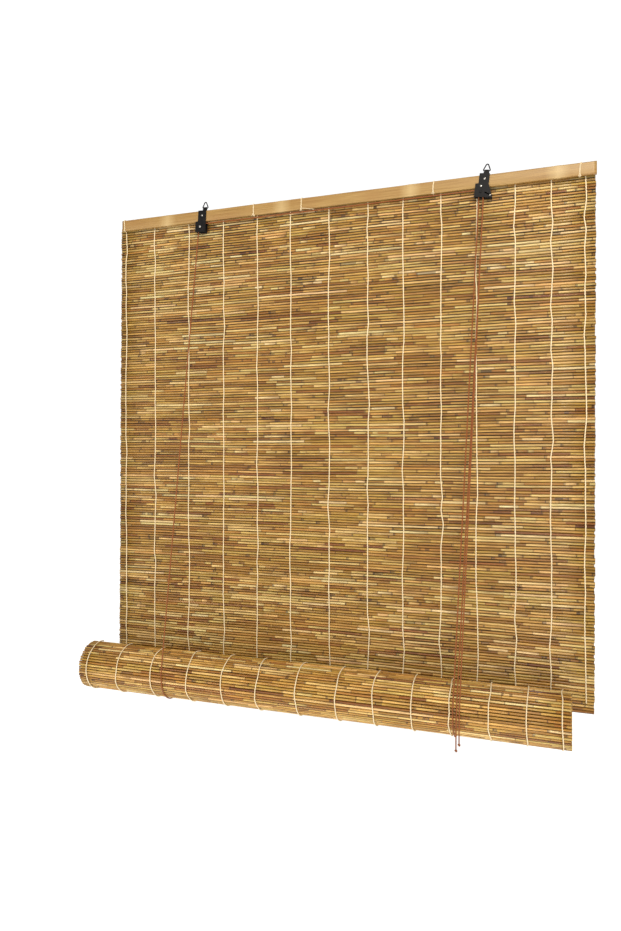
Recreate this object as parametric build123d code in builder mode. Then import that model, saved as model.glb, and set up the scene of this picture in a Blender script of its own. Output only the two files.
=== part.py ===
from build123d import *

import os
from math import acos, atan2, cos, degrees, hypot, pi, radians, sin

# Reed roll-up blind, in millimetres. +X runs along the batten to the right, -Y faces the room, +Z is up.
# The origin lies midway between the crowns of the two hanging rings, where the wall hooks bear.

# ---------------------------------------------------------------- driving dimensions

# battens: one at the head, one rolled up in the core
batten_length = 900.0
batten_height = 22.0
batten_thickness = 7.0
batten_edge = 0.8  # softened long edges

# reed mat
drop = 900.0  # head batten's top edge down to the roll's axis
mat_left = 465.0  # the mat reaches this far left of the middle
mat_right = 448.0
mat_tuck = 13.0  # the first reed lies this far below the batten's top edge, behind it
reed_diameter = 4.5
reed_gap = 0.4  # string between two neighbouring reeds
reeds_per_turn = 55
roll_shift = 35.0  # the mat was rolled up a little to the left

# warp strings, left to right
string_diameter = 1.4
string_clearance = 0.3
first_string = -447.0
string_spacings = [68, 77, 77, 72, 68, 76, 74, 65, 67, 61, 64, 58, 53]
string_head = 2.0  # the strings end this far above the top reed
string_arc = 290.0  # how far round the roll each string shows

# thread ties that bind the mat's head to the batten
tie_places = [-444, -157, -60, 185, 424]
tie_diameter = 0.9
tie_clearance = 0.2

# lift cords
cord_diameter = 2.2
cord_clearance = 0.3
cord_gap = 0.2  # between two lengths of one cord that move apart
cord_exit = 1.0  # the cords leave the hangers this far below the plates
pull_gaps = [3.3, 2.8]  # between the right sling and the pull cords on the roll, left to right
pull_split = 6.0  # the hanging end of a pull cord starts this far above the roll
pull_ends = [42.0, 52.0]  # below the roll's axis
knot_radius = 3.2
knot_neck = 1.6

# hanger plates, in each hanger's own axes: u to the right and v up, from the pulley's axle
plate_thickness = 1.0
plate_left = -5.3
plate_right = 12.0
plate_top = 31.0
housing_left = -10.3
left_housing = (9.8, -11.0)  # top and bottom edges of the part that houses the pulley
right_housing = (13.5, -9.5)
lock_flare = 8.5
plate_corner = 1.0
neck_width = 9.5
neck_u = 4.6
neck_base = 24.0

# wire ring in its rolled eye
wire_diameter = 2.0
running_clearance = 0.05
eye_v = 38.3
eye_width = 7.0
ring_width = 13.0
ring_apex = 14.4
ring_corner = 1.6
ring_crown = 2.2

# rivets and axles
left_rivets = [(3.9, 21.4)]
right_rivets = [(4.0, 21.6), (-0.4, 9.5)]
shank_radius = 1.25
rivet_head_radius = 1.8
axle_head_radius = 2.3
front_head = 1.0
back_head = 0.6
head_round = 0.4

# pulleys
pulley_side_gap = 0.3
pulley_lip = 0.5
left_wrap = 6.0  # radius of the cord's middle round the left pulley
right_wrap = 3.8
groove_depth_left = 1.3
groove_depth_right = 0.85
strand_gap = 0.6  # between the two cords side by side on the right pulley
groove_side_gap = 0.1

# jamming roller of the cord lock, in the right hanger's axes
roller_rest = (17.0, -6.0)
roller_jammed = (7.7, -1.4)
roller_radius = 2.2
roller_pin_radius = 1.0
slot_clearance = 0.1
roller_pin_front = 0.9
roller_pin_back = 0.5

# hanger places, from the middle and from the batten's top edge
left_axle = (-271.0, -31.0)
right_axle = (266.1, -28.5)
left_lean = 3.0
right_lean = 7.0

# screw eyes behind the batten that hold the fixed ends of the lift cords
eye_wire_radius = 0.9
eye_shank_radius = 0.8
eye_drop = 5.0
eye_shank_depth = 4.0
anchor_knot_radius = 2.6

# ---------------------------------------------------------------- derived sizes

reed_radius = reed_diameter / 2
string_radius = string_diameter / 2
cord_radius = cord_diameter / 2
wire_radius = wire_diameter / 2
eye_bore = wire_radius + running_clearance
eye_reach = eye_bore + plate_thickness

# depths, front to back; the rings hang in the plane Y = 0
plate_back = -eye_bore
batten_back = plate_back - plate_thickness
batten_front = batten_back - batten_thickness
batten_middle = (batten_front + batten_back) / 2
mat_string_front = plate_back + back_head + cord_clearance
mat_y = mat_string_front + string_diameter + string_clearance + reed_radius
string_offset = reed_radius + string_clearance + string_radius
back_leg_y = mat_y + string_offset + string_radius + cord_clearance + cord_radius

# heights
ring_top_v = eye_v + ring_apex - ring_crown * (hypot(ring_apex, ring_width / 2) / (ring_width / 2) - 1)
crown_v = ring_top_v - wire_radius


def hanger_point(axle, lean, u, v):
    """X and Z, measured from the batten's top edge, of a point in a hanger's own axes."""
    turn = radians(lean)
    return axle[0] + u * cos(turn) + v * sin(turn), axle[1] - u * sin(turn) + v * cos(turn)


left_crown = hanger_point(left_axle, left_lean, neck_u, crown_v)
right_crown = hanger_point(right_axle, right_lean, neck_u, crown_v)
batten_top = -(left_crown[1] + right_crown[1]) / 2
batten_bottom = batten_top - batten_height
axis_z = batten_top - drop

# the roll, a spiral whose outer turn keeps its radius until the last quarter
reed_pitch = reed_diameter + reed_gap
mat_radius = reeds_per_turn * reed_pitch / (2 * pi)
axis_y = mat_y - mat_radius
roll_radius = mat_radius + reed_radius
roll_left = -mat_left - roll_shift
mat_width = mat_left + mat_right
sling_radius = back_leg_y - axis_y
core_clearance = 0.3

string_places = [first_string + sum(string_spacings[:n]) for n in range(len(string_spacings) + 1)]
reed_rows = int((drop - mat_tuck) / reed_pitch)
mat_top = axis_z + (reed_rows - 0.5) * reed_pitch + reed_radius
front_string_stop = 3 * reed_pitch  # the front strings end here above the axis, short of the inner turn

left_sling_x = left_axle[0] - left_wrap - roll_shift
right_sling_x = right_axle[0] - right_wrap - roll_shift + 3
strand_spacing = cord_diameter + strand_gap
pull_spacing = [cord_diameter + pull_gaps[0], 2 * cord_diameter + pull_gaps[0] + pull_gaps[1]]
back_strand_y = batten_middle + strand_spacing / 2
front_strand_y = batten_middle - strand_spacing / 2


def height(axle):
    """Height of a hanger's axle."""
    return batten_top + axle[1]


def hanger_plane(axle, lean, y):
    """A hanger's own plane at depth y, with u to the right, v up and its normal to the front."""
    turn = radians(lean)
    return Plane(origin=(axle[0], y, height(axle)), x_dir=(cos(turn), 0, -sin(turn)), z_dir=(0, -1, 0))


def front_tangent(start_y, start_z):
    """Angle at the roll's axis, up from the back, where a cord from above first meets the roll's front."""
    across, up = start_y - axis_y, start_z - axis_z
    return degrees(atan2(up, across) + acos(sling_radius / hypot(up, across)))


def on_roll(x, angle):
    """A point of a cord's middle on the roll, at an angle up from the back."""
    turn = radians(angle)
    return Vector(x, axis_y + sling_radius * cos(turn), axis_z + sling_radius * sin(turn))


def toward(start, end, distance):
    """The point that lies a distance from start on the way to end."""
    return start + (end - start).normalized() * distance


# ---------------------------------------------------------------- output

os.makedirs("parts", exist_ok=True)


def save(builder, name):
    """Labels one finished sub-part and writes it."""
    builder.part.label = name
    export_step(builder.part, f"parts/{name}.step")


def save_cord(builder, name, length, radii=()):
    """Writes a cord, and prints its bends and how its volume compares with its section and length."""
    save(builder, name)
    expected = pi * cord_radius**2 * length
    print(f"{name}: length {length:.1f}, radii {list(radii)}, volume ratio {builder.part.volume / expected:.4f}")


# ---------------------------------------------------------------- battens

with BuildPart() as head_batten:
    with BuildSketch(Plane.YZ.offset(-batten_length / 2)):
        with Locations((batten_middle, batten_top - batten_height / 2)):
            RectangleRounded(batten_thickness, batten_height, batten_edge)
    extrude(amount=batten_length)
    for axle, lean, rivets in ((left_axle, left_lean, left_rivets), (right_axle, right_lean, right_rivets)):
        with BuildSketch(hanger_plane(axle, lean, batten_back)):
            with Locations(rivets):
                Circle(shank_radius + running_clearance)
        extrude(amount=batten_thickness, mode=Mode.SUBTRACT)
    for axle, wrap in ((left_axle, left_wrap), (right_axle, right_wrap)):
        with BuildSketch(Plane.XZ.offset(-batten_back)):
            with Locations((axle[0] - wrap, batten_top - eye_drop)):
                Circle(eye_shank_radius + running_clearance)
        extrude(amount=eye_shank_depth, mode=Mode.SUBTRACT)
save(head_batten, "head_batten")

with BuildPart() as bottom_batten:
    with BuildSketch(Plane.YZ.offset(roll_left + (mat_width - batten_length) / 2)):
        with Locations((axis_y, axis_z)):
            RectangleRounded(batten_thickness, batten_height, batten_edge)
    extrude(amount=batten_length)
save(bottom_batten, "bottom_batten")

# ---------------------------------------------------------------- reed mat

with BuildPart() as hanging_reeds:
    with BuildSketch(Plane.YZ.offset(-mat_left)):
        with Locations([(mat_y, axis_z + (row + 0.5) * reed_pitch) for row in range(reed_rows)]):
            Circle(reed_radius)
    extrude(amount=mat_width)
save(hanging_reeds, "hanging_reeds")

# reed places round the roll, from the back down, forward, up and over; the last quarter dips one layer
turn_step = 2 * pi / reeds_per_turn
reed_places = []
for reed in range(reeds_per_turn):
    swept = (reed + 0.5) * turn_step
    dip = max(0.0, swept / (pi / 2) - 3) * reed_pitch
    reed_places.append((axis_y + (mat_radius - dip) * cos(swept), axis_z - (mat_radius - dip) * sin(swept)))

with BuildPart() as rolled_mat:
    with BuildSketch(Plane.YZ.offset(roll_left)):
        with BuildLine():
            Polyline(*reed_places, close=True)
        make_face()
        with Locations(reed_places):
            Circle(reed_radius)
        with Locations((axis_y, axis_z)):
            Rectangle(
                batten_thickness + 2 * core_clearance, batten_height + 2 * core_clearance, mode=Mode.SUBTRACT
            )
    extrude(amount=mat_width)
save(rolled_mat, "rolled_mat")

string_top = mat_top + string_head
for number, place in enumerate(string_places, 1):
    with BuildPart() as warp_string:
        with BuildSketch(Plane.XY.offset(axis_z + front_string_stop)):
            with Locations((place, mat_y - string_offset)):
                Circle(string_radius)
        extrude(amount=string_top - axis_z - front_string_stop)
        with BuildSketch(Plane.XY.offset(axis_z + cord_gap)):
            with Locations((place, mat_y + string_offset)):
                Circle(string_radius)
        extrude(amount=string_top - axis_z - cord_gap)
    save(warp_string, f"warp_string_{number:02d}")

with BuildPart() as rolled_strings:
    with BuildSketch(Plane.XY.offset(axis_z)):
        with Locations([(place - roll_shift, axis_y + mat_radius + string_offset) for place in string_places]):
            Circle(string_radius)
    revolve(axis=Axis((0, axis_y, axis_z), (-1, 0, 0)), revolution_arc=string_arc)
save(rolled_strings, "rolled_strings")

with BuildPart() as batten_ties:
    for place in tie_places:
        with BuildSketch(Plane.YZ.offset(place - tie_diameter / 2)):
            with Locations((batten_middle, (batten_top + batten_bottom) / 2)):
                RectangleRounded(
                    batten_thickness + 2 * (tie_clearance + tie_diameter),
                    batten_height + 2 * (tie_clearance + tie_diameter),
                    batten_edge + tie_clearance + tie_diameter,
                )
                RectangleRounded(
                    batten_thickness + 2 * tie_clearance,
                    batten_height + 2 * tie_clearance,
                    batten_edge + tie_clearance,
                    mode=Mode.SUBTRACT,
                )
        extrude(amount=tie_diameter)
save(batten_ties, "batten_ties")

# ---------------------------------------------------------------- hangers


def plate_outline(housing, flare):
    """Corners of a hanger's plate: a wide housing for the pulley below, and the fixing plate above it."""
    corners = [(housing_left, housing[1]), (plate_right + flare, housing[1])]
    if flare:
        corners.append((plate_right, housing[0]))
    corners += [
        (plate_right, plate_top),
        (plate_left, plate_top),
        (plate_left, housing[0]),
        (housing_left, housing[0]),
    ]
    return corners


def slot_middle():
    """Middle, length and angle of the roller's slot."""
    across, up = roller_jammed[0] - roller_rest[0], roller_jammed[1] - roller_rest[1]
    middle = ((roller_jammed[0] + roller_rest[0]) / 2, (roller_jammed[1] + roller_rest[1]) / 2)
    return middle, hypot(across, up), degrees(atan2(up, across))


def plate_sketch(plane, top, housing, flare, rivets):
    """Face of one plate up to a height, with its rivet, axle and slot holes."""
    with BuildSketch(plane) as face:
        with BuildLine():
            Polyline(*plate_outline(housing, flare), close=True)
        make_face()
        fillet(face.vertices(), radius=plate_corner)
        if top < plate_top:
            with Locations(((plate_left + plate_right) / 2, (top + plate_top) / 2)):
                Rectangle(plate_right - plate_left, plate_top - top, mode=Mode.SUBTRACT)
            with Locations((neck_u, (top + eye_v) / 2)):
                Rectangle(neck_width, eye_v - top)
            sides = (neck_width + eye_width) / 4
            with Locations((neck_u - sides, eye_v), (neck_u + sides, eye_v)):
                Rectangle((neck_width - eye_width) / 2, 2 * eye_reach, mode=Mode.SUBTRACT)
        with Locations((0, 0), *rivets):
            Circle(shank_radius + running_clearance, mode=Mode.SUBTRACT)
        if flare:
            middle, length, angle = slot_middle()
            with Locations(Location((middle[0], middle[1], 0), angle)):
                SlotCenterToCenter(length, 2 * (roller_pin_radius + slot_clearance), mode=Mode.SUBTRACT)
    return face


def make_hanger(side, axle, lean, housing, flare, rivets, wrap, groove, depth):
    """The plates, rivets, axle, pulley and wire ring of one hanger."""
    front_face = plate_sketch(hanger_plane(axle, lean, batten_front), plate_top, housing, flare, rivets)
    with BuildPart() as front_plate:
        extrude(front_face.sketch, amount=plate_thickness)
    save(front_plate, f"{side}_hanger_front_plate")

    eye_x, eye_z = hanger_point(axle, lean, neck_u, eye_v)
    eye_plane = Plane(
        origin=(eye_x, 0, batten_top + eye_z),
        x_dir=(0, 1, 0),
        z_dir=(cos(radians(lean)), 0, -sin(radians(lean))),
    )
    back_face = plate_sketch(hanger_plane(axle, lean, plate_back), neck_base, housing, flare, rivets)
    with BuildPart() as back_plate:
        extrude(back_face.sketch, amount=plate_thickness)
        with BuildSketch(eye_plane):
            Circle(eye_reach)
        extrude(amount=eye_width / 2, both=True)
        with BuildSketch(eye_plane):
            Circle(eye_bore)
        extrude(amount=eye_width, both=True, mode=Mode.SUBTRACT)
    save(back_plate, f"{side}_hanger_back_plate")

    with BuildPart() as ring:
        with BuildLine() as loop:
            plane = hanger_plane(axle, lean, 0)
            corners = [
                (neck_u - ring_width / 2, eye_v),
                (neck_u + ring_width / 2, eye_v),
                (neck_u, eye_v + ring_apex),
            ]
            FilletPolyline(
                *[plane.from_local_coords((u, v, 0)) for u, v in corners],
                radius=[ring_corner, ring_corner, ring_crown],
                close=True,
            )
        path = loop.wire()
        with BuildSketch(Plane(origin=path @ 0, z_dir=path % 0)):
            Circle(wire_radius)
        sweep(path=path)
    save(ring, f"{side}_hanging_ring")

    for name, places, head in (
        (f"{side}_hanger_rivets", rivets, rivet_head_radius),
        (f"{side}_pulley_axle", [(0, 0)], axle_head_radius),
    ):
        with BuildPart() as pin:
            with BuildSketch(hanger_plane(axle, lean, plate_back)):
                with Locations(places):
                    Circle(shank_radius)
            extrude(amount=batten_thickness + 2 * plate_thickness)
            with BuildSketch(hanger_plane(axle, lean, batten_front - plate_thickness)):
                with Locations(places):
                    Circle(head)
            extrude(amount=front_head)
            fillet(pin.edges().filter_by(GeomType.CIRCLE).group_by(Axis.Y)[0], radius=2 * head_round)
            with BuildSketch(hanger_plane(axle, lean, plate_back + back_head)):
                with Locations(places):
                    Circle(head)
            extrude(amount=back_head)
            fillet(pin.edges().filter_by(GeomType.CIRCLE).group_by(Axis.Y)[-1], radius=head_round)
        save(pin, name)

    root = wrap - cord_radius - groove_side_gap
    rim = root + depth + cord_radius
    half_width = batten_thickness / 2 - pulley_side_gap
    profile = [
        (shank_radius + running_clearance, -half_width),
        (rim, -half_width),
        (rim, pulley_lip - half_width),
        (root, -groove / 2),
        (root, groove / 2),
        (rim, half_width - pulley_lip),
        (rim, half_width),
        (shank_radius + running_clearance, half_width),
    ]
    with BuildPart() as pulley:
        with BuildSketch(Plane(origin=(axle[0], batten_middle, height(axle)), x_dir=(1, 0, 0), z_dir=(0, 0, 1))):
            with BuildLine():
                Polyline(*profile, close=True)
            make_face()
        revolve(axis=Axis((axle[0], batten_middle, height(axle)), (0, 1, 0)), revolution_arc=360)
    save(pulley, f"{side}_pulley")


make_hanger(
    "left",
    left_axle,
    left_lean,
    left_housing,
    0,
    left_rivets,
    left_wrap,
    cord_diameter + 2 * groove_side_gap,
    groove_depth_left,
)
make_hanger(
    "right",
    right_axle,
    right_lean,
    right_housing,
    lock_flare,
    right_rivets,
    right_wrap,
    strand_spacing + cord_diameter + 2 * groove_side_gap,
    groove_depth_right,
)

with BuildPart() as lock_roller:
    with BuildSketch(hanger_plane(right_axle, right_lean, plate_back + roller_pin_back)):
        with Locations(roller_rest):
            Circle(roller_pin_radius)
    extrude(amount=batten_thickness + 2 * plate_thickness + roller_pin_back + roller_pin_front)
    with BuildSketch(hanger_plane(right_axle, right_lean, batten_back - pulley_side_gap)):
        with Locations(roller_rest):
            Circle(roller_radius)
    extrude(amount=batten_thickness - 2 * pulley_side_gap)
save(lock_roller, "lock_roller")

# ---------------------------------------------------------------- lift cords


def straight_cord(name, start, end):
    """A taut length of cord from one point to another."""
    with BuildPart() as cord:
        with BuildSketch(Plane(origin=start, z_dir=end - start)):
            Circle(cord_radius)
        extrude(amount=(end - start).length)
    save_cord(cord, name, (end - start).length)


def bent_cord(name, points, radii):
    """A cord along straight runs joined by tangent arcs."""
    with BuildPart() as cord:
        with BuildLine() as route:
            FilletPolyline(*points, radius=radii)
        path = route.wire()
        with BuildSketch(Plane(origin=path @ 0, z_dir=path % 0)):
            Circle(cord_radius)
        sweep(path=path)
    save_cord(cord, name, path.length, radii)


def sling(name, x, sweep_angle):
    """The stretch of a lift cord that cradles the roll, from behind it round to its front."""
    trim = degrees(cord_gap / sling_radius)
    start = on_roll(x, -trim)
    with BuildPart() as cord:
        with BuildSketch(Plane(origin=start, x_dir=(1, 0, 0), z_dir=(0, -sin(radians(trim)), -cos(radians(trim))))):
            Circle(cord_radius)
        revolve(axis=Axis((x, axis_y, axis_z), (-1, 0, 0)), revolution_arc=sweep_angle - 2 * trim)
    save_cord(cord, name, sling_radius * radians(sweep_angle - 2 * trim), [sling_radius])


left_z, right_z = height(left_axle), height(right_axle)
left_exit = left_z + left_housing[1] - cord_exit
right_exit = right_z + right_housing[1] - cord_exit

# the left cord passes over its pulley, along the batten and down over the lock's pulley
cross_points = [
    (left_axle[0] - left_wrap, batten_middle, left_exit),
    (left_axle[0] - left_wrap, batten_middle, left_z + left_wrap),
    (right_axle[0] + right_wrap, front_strand_y, right_z + right_wrap),
    (right_axle[0] + right_wrap, front_strand_y, right_exit),
]
bent_cord("cross_cord", cross_points, [left_wrap, right_wrap])

# the right cord turns over the lock's pulley, behind the left one
over_radius = right_wrap - cord_gap
over_points = [
    (right_axle[0] - right_wrap, back_strand_y, right_exit),
    (right_axle[0] - right_wrap, back_strand_y, right_z + right_wrap),
    (right_axle[0] + right_wrap, back_strand_y, right_z + right_wrap),
    (right_axle[0] + right_wrap, back_strand_y, right_exit),
]
bent_cord("right_cord_over_pulley", over_points, [over_radius, over_radius])

for side, axle, wrap, sling_x, strand_y, exit_z in (
    ("left", left_axle, left_wrap, left_sling_x, batten_middle, left_exit),
    ("right", right_axle, right_wrap, right_sling_x, back_strand_y, right_exit),
):
    meets = front_tangent(strand_y, exit_z)
    sling(f"{side}_cord_sling", sling_x, 360 - meets)
    leg_top = Vector(axle[0] - wrap, strand_y, exit_z)
    leg_end = on_roll(sling_x, meets)
    leg_length = (leg_end - leg_top).length
    straight_cord(
        f"{side}_cord_front_leg",
        toward(leg_top, leg_end, cord_gap),
        toward(leg_top, leg_end, leg_length - cord_gap),
    )
    anchor = Vector(axle[0] - wrap, back_leg_y, batten_top - eye_drop + eye_wire_radius)
    straight_cord(f"{side}_cord_back_leg", anchor, toward(on_roll(sling_x, 0), anchor, cord_gap))

# the pull cords lean on the roll and hang down in front of it
for side, strand_y, spacing, end in (
    ("left", front_strand_y, pull_spacing[1], pull_ends[0]),
    ("right", back_strand_y, pull_spacing[0], pull_ends[1]),
):
    meets = front_tangent(strand_y, right_exit)
    pull_top = Vector(right_axle[0] + right_wrap, strand_y, right_exit)
    pull_x = right_sling_x + spacing
    touches = on_roll(pull_x, meets)
    parting = toward(touches, pull_top, pull_split)
    straight_cord(f"{side}_pull_cord", toward(pull_top, parting, cord_gap), toward(parting, pull_top, cord_gap))
    corner_z = touches.Z - (touches.Y - (axis_y - sling_radius)) * (parting.Z - touches.Z) / (parting.Y - touches.Y)
    tail = [parting, (pull_x, axis_y - sling_radius, corner_z), (pull_x, axis_y - sling_radius, axis_z - end)]
    bent_cord(f"{side}_pull_cord_end", tail, [sling_radius])
    with BuildPart() as knot:
        with Locations((pull_x, axis_y - sling_radius, axis_z - end - knot_neck)):
            Sphere(knot_radius)
        split(bisect_by=Plane.XY.offset(axis_z - end), keep=Keep.BOTTOM)
    save(knot, f"{side}_pull_knot")

# ---------------------------------------------------------------- fixed ends of the lift cords

eye_ring_radius = cord_radius + cord_clearance + eye_wire_radius
with BuildPart() as cord_eyes:
    for axle, wrap in ((left_axle, left_wrap), (right_axle, right_wrap)):
        x = axle[0] - wrap
        with BuildSketch(Plane.XZ.offset(-(back_leg_y - eye_ring_radius))):
            with Locations((x, batten_top - eye_drop)):
                Circle(eye_shank_radius)
        extrude(amount=back_leg_y - eye_ring_radius - batten_back + eye_shank_depth)
        with BuildSketch(Plane.YZ.offset(x)):
            with Locations((back_leg_y + eye_ring_radius, batten_top - eye_drop)):
                Circle(eye_wire_radius)
        revolve(axis=Axis((x, back_leg_y, batten_top), (0, 0, 1)), revolution_arc=360)
save(cord_eyes, "back_cord_eyes")

with BuildPart() as cord_knots:
    seat = batten_top - eye_drop + eye_wire_radius + cord_gap
    for axle, wrap in ((left_axle, left_wrap), (right_axle, right_wrap)):
        with Locations((axle[0] - wrap, back_leg_y, seat + knot_neck)):
            Sphere(anchor_knot_radius)
    split(bisect_by=Plane.XY.offset(seat), keep=Keep.TOP)
save(cord_knots, "back_cord_knots")

print(f"batten top {batten_top:.3f}, axis y {axis_y:.3f}, axis z {axis_z:.3f}, roll radius {roll_radius:.3f}")
print(f"mat y {mat_y:.3f}, mat radius {mat_radius:.4f}, mat top {mat_top:.3f}, sling radius {sling_radius:.3f}")
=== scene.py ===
"""Builds the looks of a reed roll-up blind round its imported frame: mat, roll, strings, battens, cords and hangers."""

import logging
import math
import random
from dataclasses import dataclass, field, replace
from enum import Enum
from functools import partial
from typing import Any, Callable, Iterable, Sequence

import bmesh
import bpy
from mathutils import Matrix, Vector

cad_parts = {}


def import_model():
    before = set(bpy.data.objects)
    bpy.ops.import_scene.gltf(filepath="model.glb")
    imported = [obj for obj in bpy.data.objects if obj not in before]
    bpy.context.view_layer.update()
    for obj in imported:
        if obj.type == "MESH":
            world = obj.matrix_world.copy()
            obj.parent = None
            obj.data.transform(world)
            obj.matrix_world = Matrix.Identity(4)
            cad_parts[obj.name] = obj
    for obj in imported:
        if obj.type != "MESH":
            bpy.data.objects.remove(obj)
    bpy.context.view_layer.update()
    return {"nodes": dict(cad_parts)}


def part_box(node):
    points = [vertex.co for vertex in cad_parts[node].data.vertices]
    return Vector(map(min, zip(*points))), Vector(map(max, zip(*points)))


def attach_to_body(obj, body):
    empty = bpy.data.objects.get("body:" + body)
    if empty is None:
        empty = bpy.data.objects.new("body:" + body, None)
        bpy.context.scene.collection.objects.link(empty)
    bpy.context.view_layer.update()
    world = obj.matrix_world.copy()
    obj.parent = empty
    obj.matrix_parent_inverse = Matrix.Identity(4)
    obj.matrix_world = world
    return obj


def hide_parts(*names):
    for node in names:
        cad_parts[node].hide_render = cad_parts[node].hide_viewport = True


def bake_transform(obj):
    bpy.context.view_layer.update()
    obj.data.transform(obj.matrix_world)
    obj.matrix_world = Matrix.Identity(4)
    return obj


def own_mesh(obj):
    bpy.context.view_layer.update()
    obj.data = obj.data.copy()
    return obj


LOG = logging.getLogger("reed_blind")
MM = 0.001

Point = tuple[float, float, float]
Colour = tuple[float, float, float, float]
Stops = Sequence[tuple[float, str]]
Look = tuple[Any, Any, Any]  # colour, roughness and height, each a socket or a plain value
AddNode = Callable[..., Any]  # add_node, bound to one tree


# ---- colours and shader nodes


def linear(hex_colour: str) -> Colour:
    """Turns an sRGB hex colour to linear.

    Args:
        hex_colour: six hex digits, red first.

    Returns:
        The linear red, green, blue and an alpha of one.
    """
    parts = [int(hex_colour[i : i + 2], 16) / 255 for i in (0, 2, 4)]
    red, green, blue = (c / 12.92 if c <= 0.04045 else ((c + 0.055) / 1.055) ** 2.4 for c in parts)
    return red, green, blue, 1.0


def add_node(
    tree: bpy.types.NodeTree,
    kind: str,
    inputs: dict[Any, Any] | Sequence[Any] = (),
    stops: Stops = (),
    **settings: Any,
) -> Any:
    """Adds one shader node with its settings and links.

    Args:
        tree: the material's or world's node tree.
        kind: the node's Blender type name, after ShaderNode, and its operation after a colon if it has one.
        inputs: values by input name or index, or in order; an output socket is linked.
        stops: place and hex colour of each stop of a colour ramp.
        settings: the node's own properties.

    Returns:
        The node's outputs.
    """
    kind, _, operation = kind.partition(":")
    node = tree.nodes.new("ShaderNode" + kind)
    if operation:
        node.operation = operation
    for name, value in settings.items():
        setattr(node, name, value)
    for name, value in inputs.items() if isinstance(inputs, dict) else enumerate(inputs):
        if isinstance(value, bpy.types.NodeSocket):
            tree.links.new(value, node.inputs[name])
        else:
            node.inputs[name].default_value = value
    if stops:
        elements = node.color_ramp.elements
        while len(elements) < len(stops):
            elements.new(1.0)
        for element, (place, colour) in zip(elements, stops):
            element.position = place
            element.color = linear(colour)
    return node.outputs


def at_scale(add: AddNode, scale: Point, detail: float) -> dict[str, Any]:
    """Gives a noise's inputs, for noise that follows the object's own coordinates.

    Args:
        add: adds a node to the material.
        scale: repeats a metre along each axis.
        detail: octaves of finer noise.

    Returns:
        The inputs.
    """
    place = add("Mapping", {"Vector": add("TexCoord")["Object"], "Scale": scale})["Vector"]
    return {"Vector": place, "Scale": 1.0, "Detail": detail}


@dataclass(frozen=True)
class Finish:
    """What every material shares: a name, a shader, and a bump fed by a pattern."""

    name: str
    roughness: float = 0.5
    metallic: float = 0.0
    ior: float = 1.5
    gloss: float = 0.5  # share of the shader's own reflection
    bump: float = 0.2  # strength
    bump_depth: float = 0.1  # millimetres

    def pattern(self, add: AddNode) -> Look:
        """Gives what the shader takes.

        Args:
            add: adds a node to the material.

        Returns:
            The colour, the roughness and the height.
        """
        raise NotImplementedError

    def material(self) -> bpy.types.Material:
        """Makes the material, unless it is there already.

        Returns:
            The material, with its node tree built.
        """
        made = bpy.data.materials.get(self.name)
        if made:
            return made
        made = bpy.data.materials.new(self.name)
        made.use_nodes = True
        made.node_tree.nodes.clear()
        add = partial(add_node, made.node_tree)
        colour, rough, height = self.pattern(add)
        bump = add("Bump", {"Strength": self.bump, "Distance": self.bump_depth * MM, "Height": height})
        values = {"Base Color": colour, "Roughness": rough, "Metallic": self.metallic, "Normal": bump["Normal"]}
        if self.metallic < 1:
            values |= {"IOR": self.ior, "Specular IOR Level": self.gloss}
        add("OutputMaterial", {"Surface": add("BsdfPrincipled", values)[0]})
        return made


# ---- finishes


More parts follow.
